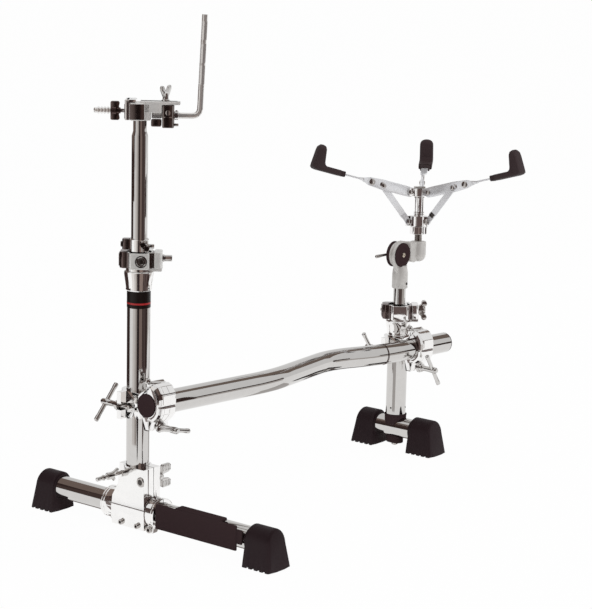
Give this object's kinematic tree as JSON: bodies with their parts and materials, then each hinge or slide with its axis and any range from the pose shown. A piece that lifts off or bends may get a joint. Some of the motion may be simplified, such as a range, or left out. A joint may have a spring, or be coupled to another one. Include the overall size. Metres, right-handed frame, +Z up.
{
  "type": "drum rack frame",
  "caption": "Two-post rack frame with short foot bars, a bent cross bar in clamps, an L-shaped tom rod and a folding drum basket.",
  "frame": {"origin": "on the floor under the middle of the bounding box", "axes": "+X from the tall post to the short post, +Y along the foot bars away from the camera side, +Z up"},
  "size_m": [1.0504, 0.5264, 0.8465],
  "materials": {
    "chrome_tube": "polished",
    "chrome_casting": "polished",
    "rubber": "matte",
    "black_plastic": "satin",
    "nylon": "satin"
  },
  "bodies": {
    "foot": {"left_foot_bar": "chrome_tube", "left_foot_front": "rubber", "left_foot_back": "rubber", "name_plate": "black_plastic"},
    "base": {"base_clamp_front": "chrome_casting", "base_clamp_rear": "chrome_casting"},
    "base_rear_wing": {"base_rear_wing_bolt": "chrome_tube"},
    "base_front_wing": {"base_front_wing_bolt": "chrome_tube"},
    "post": {"left_post_tube": "chrome_tube", "left_height_casting": "chrome_casting", "left_height_bush": "nylon"},
    "height_knob": {"left_height_bolt": "chrome_tube"},
    "stem": {"tom_stem": "chrome_tube", "left_memory_lock": "chrome_casting"},
    "bracket": {"bracket_body": "chrome_casting", "bracket_clamp_block": "chrome_casting", "rod_clamp_block": "chrome_casting"},
    "bracket_wing": {"bracket_wing_bolt": "chrome_tube"},
    "rod_wing": {"rod_wing_bolt": "chrome_tube"},
    "rod_stop": {"rod_memory_collar": "chrome_casting"},
    "rod": {"tom_rod": "chrome_tube"},
    "left_clamp": {"left_clamp_body": "chrome_casting", "left_clamp_post_jaw": "chrome_casting", "left_clamp_bar_jaw": "chrome_casting"},
    "left_post_handle": {"left_post_t_bolt": "chrome_tube"},
    "left_bar_handle": {"left_bar_t_bolt": "chrome_tube"},
    "bar": {"curved_bar": "chrome_tube", "bar_left_cap": "black_plastic", "bar_right_cap": "black_plastic"},
    "right_clamp": {"right_clamp_body": "chrome_casting", "right_clamp_post_jaw": "chrome_casting", "right_clamp_bar_jaw": "chrome_casting"},
    "right_post_handle": {"right_post_t_bolt": "chrome_tube"},
    "right_bar_handle": {"right_bar_t_bolt": "chrome_tube"},
    "right_post": {"right_post_tube": "chrome_tube", "right_height_casting": "chrome_casting", "right_height_bush": "nylon"},
    "height_wing": {"right_height_wing_bolt": "chrome_tube"},
    "right_foot": {"right_foot_bar": "chrome_tube", "right_foot_front": "rubber", "right_foot_back": "rubber", "post_saddle": "black_plastic", "lower_saddle": "black_plastic", "foot_bolt": "chrome_tube"},
    "seat_stem": {"seat_tube": "chrome_tube"},
    "tilter": {"tilter_base": "chrome_casting"},
    "tilter_lever": {"tilter_lever_bolt": "chrome_casting"},
    "tilter_upper": {"tilter_arm": "chrome_casting"},
    "nut": {"basket_nut": "chrome_casting"},
    "basket": {"upper_hub": "chrome_casting"},
    "slider": {"lower_hub": "chrome_casting"},
    "arm_1": {"basket_arm_1": "chrome_tube", "basket_grip_1": "rubber"},
    "strut_1": {"basket_strut_1": "chrome_tube"},
    "arm_2": {"basket_arm_2": "chrome_tube", "basket_grip_2": "rubber"},
    "strut_2": {"basket_strut_2": "chrome_tube"},
    "arm_3": {"basket_arm_3": "chrome_tube", "basket_grip_3": "rubber"},
    "strut_3": {"basket_strut_3": "chrome_tube"}
  },
  "joints": [
    {"name": "base_slide", "type": "slide", "parent": "foot", "child": "base", "axis": [0, 1, 0], "range_m": [0, 0.08]},
    {"name": "base_rear_wing_spin", "type": "hinge", "parent": "base", "child": "base_rear_wing", "pos_m": [-0.45317, 0.01155, 0.093], "axis": [1, 0, 0], "continuous": true},
    {"name": "base_front_wing_spin", "type": "hinge", "parent": "base", "child": "base_front_wing", "pos_m": [-0.45317, 0.06395, 0.0975], "axis": [1, 0, 0], "continuous": true},
    {"name": "post_turn", "type": "hinge", "parent": "base", "child": "post", "pos_m": [-0.45317, 0.04055, 0.09], "axis": [0, 0, 1], "range_deg": [-90, 90]},
    {"name": "height_knob_spin", "type": "hinge", "parent": "post", "child": "height_knob", "pos_m": [-0.43949, 0.05163, 0.45325], "axis": [0.6293, -0.7771, 0], "continuous": true},
    {"name": "tom_height", "type": "slide", "parent": "post", "child": "stem", "axis": [0, 0, 1], "range_m": [0, 0.1]},
    {"name": "bracket_turn", "type": "hinge", "parent": "stem", "child": "bracket", "pos_m": [-0.45317, 0.04055, 0.69], "axis": [0, 0, 1], "range_deg": [-170, 170]},
    {"name": "bracket_wing_spin", "type": "hinge", "parent": "bracket", "child": "bracket_wing", "pos_m": [-0.45317, 0.04055, 0.692], "axis": [0.6293, -0.7771, 0], "continuous": true},
    {"name": "rod_wing_spin", "type": "hinge", "parent": "bracket", "child": "rod_wing", "pos_m": [-0.42787, 0.00931, 0.715], "axis": [0, 0, 1], "continuous": true},
    {"name": "rod_reach", "type": "slide", "parent": "bracket", "child": "rod_stop", "axis": [0.6293, -0.7771, 0], "range_m": [0, 0.015]},
    {"name": "rod_turn", "type": "hinge", "parent": "rod_stop", "child": "rod", "pos_m": [-0.41541, -0.00608, 0.6858], "axis": [0.6293, -0.7771, 0], "range_deg": [-170, 170]},
    {"name": "bar_height", "type": "slide", "parent": "post", "child": "left_clamp", "axis": [0, 0, 1], "range_m": [-0.055, 0]},
    {"name": "left_post_handle_spin", "type": "hinge", "parent": "left_clamp", "child": "left_post_handle", "pos_m": [-0.48315, 0.0416, 0.21575], "axis": [0.0349, 0.9994, 0], "continuous": true},
    {"name": "left_bar_handle_spin", "type": "hinge", "parent": "left_clamp", "child": "left_bar_handle", "pos_m": [-0.46909, -0.01052, 0.19124], "axis": [-0.0349, -0.9994, 0], "continuous": true},
    {"name": "bar_slide", "type": "slide", "parent": "left_clamp", "child": "bar", "axis": [0.9989, -0.0349, -0.0326], "range_m": [-0.08, 0]},
    {"name": "right_clamp_slide", "type": "slide", "parent": "bar", "child": "right_clamp", "axis": [0.9989, -0.0349, -0.0326], "range_m": [-0.04, 0.06]},
    {"name": "right_post_handle_spin", "type": "hinge", "parent": "right_clamp", "child": "right_post_handle", "pos_m": [0.23365, 0.0372, 0.19236], "axis": [0.0349, 0.9994, 0], "continuous": true},
    {"name": "right_bar_handle_spin", "type": "hinge", "parent": "right_clamp", "child": "right_bar_handle", "pos_m": [0.24771, -0.01493, 0.16785], "axis": [-0.0349, -0.9994, 0], "continuous": true},
    {"name": "right_post_height", "type": "slide", "parent": "right_clamp", "child": "right_post", "axis": [0, 0, 1], "range_m": [0, 0.055]},
    {"name": "height_wing_spin", "type": "hinge", "parent": "right_post", "child": "height_wing", "pos_m": [0.27731, 0.04723, 0.26325], "axis": [0.6293, -0.7771, 0], "continuous": true},
    {"name": "right_foot_turn", "type": "hinge", "parent": "right_post", "child": "right_foot", "pos_m": [0.26363, 0.03615, 0.05], "axis": [0, 0, 1], "range_deg": [-90, 90]},
    {"name": "seat_height", "type": "slide", "parent": "right_post", "child": "seat_stem", "axis": [0, 0, 1], "range_m": [-0.03, 0.06]},
    {"name": "seat_turn", "type": "hinge", "parent": "seat_stem", "child": "tilter", "pos_m": [0.26363, 0.03615, 0.32], "axis": [0, 0, 1], "range_deg": [-170, 170]},
    {"name": "tilter_lever_turn", "type": "hinge", "parent": "tilter", "child": "tilter_lever", "pos_m": [0.25963, 0.03615, 0.3728], "axis": [0, 1, 0], "range_deg": [-60, 60]},
    {"name": "seat_tilt", "type": "hinge", "parent": "tilter", "child": "tilter_upper", "pos_m": [0.25963, 0.03615, 0.3728], "axis": [0, 1, 0], "range_deg": [-45, 30]},
    {"name": "nut_spin", "type": "hinge", "parent": "tilter_upper", "child": "nut", "pos_m": [0.32192, 0.03821, 0.41087], "axis": [0.0558, 0.0453, 0.9974], "continuous": true},
    {"name": "basket_turn", "type": "hinge", "parent": "tilter_upper", "child": "basket", "pos_m": [0.326, 0.04152, 0.48368], "axis": [0.0558, 0.0453, 0.9974], "continuous": true},
    {"name": "slider_rise", "type": "slide", "parent": "basket", "child": "slider", "axis": [0.0558, 0.0453, 0.9974], "range_m": [0, 0.0245]},
    {"name": "arm_1_fold", "type": "hinge", "parent": "basket", "child": "arm_1", "pos_m": [0.34342, 0.05229, 0.48272], "axis": [0.5261, -0.8504, 0.0092], "range_deg": [0, 54]},
    {"name": "arm_2_fold", "type": "hinge", "parent": "basket", "child": "arm_2", "pos_m": [0.30799, 0.05127, 0.48475], "axis": [0.4718, 0.8792, -0.0663], "range_deg": [0, 54]},
    {"name": "arm_3_fold", "type": "hinge", "parent": "basket", "child": "arm_3", "pos_m": [0.32667, 0.02107, 0.48507], "axis": [-0.9979, -0.0288, 0.0572], "range_deg": [0, 54]},
    {"name": "strut_1_fold", "type": "hinge", "parent": "slider", "child": "strut_1", "pos_m": [0.34062, 0.04995, 0.42654], "axis": [0.5261, -0.8504, 0.0092], "range_deg": [0, 27]},
    {"name": "strut_2_fold", "type": "hinge", "parent": "slider", "child": "strut_2", "pos_m": [0.30449, 0.04891, 0.42861], "axis": [0.4718, 0.8792, -0.0663], "range_deg": [0, 27]},
    {"name": "strut_3_fold", "type": "hinge", "parent": "slider", "child": "strut_3", "pos_m": [0.32354, 0.01812, 0.42894], "axis": [-0.9979, -0.0288, 0.0572], "range_deg": [0, 27]}
  ],
  "couplings": [
    {"joint": "right_post_height", "follows": "bar_height", "ratio": -1},
    {"joint": "arm_2_fold", "follows": "arm_1_fold", "ratio": 1},
    {"joint": "arm_3_fold", "follows": "arm_1_fold", "ratio": 1},
    {"joint": "slider_rise", "follows": "arm_1_fold", "m_per_rad": 0.0236},
    {"joint": "strut_1_fold", "follows": "arm_1_fold", "ratio": 0.481},
    {"joint": "strut_2_fold", "follows": "arm_1_fold", "ratio": 0.481},
    {"joint": "strut_3_fold", "follows": "arm_1_fold", "ratio": 0.481}
  ]
}
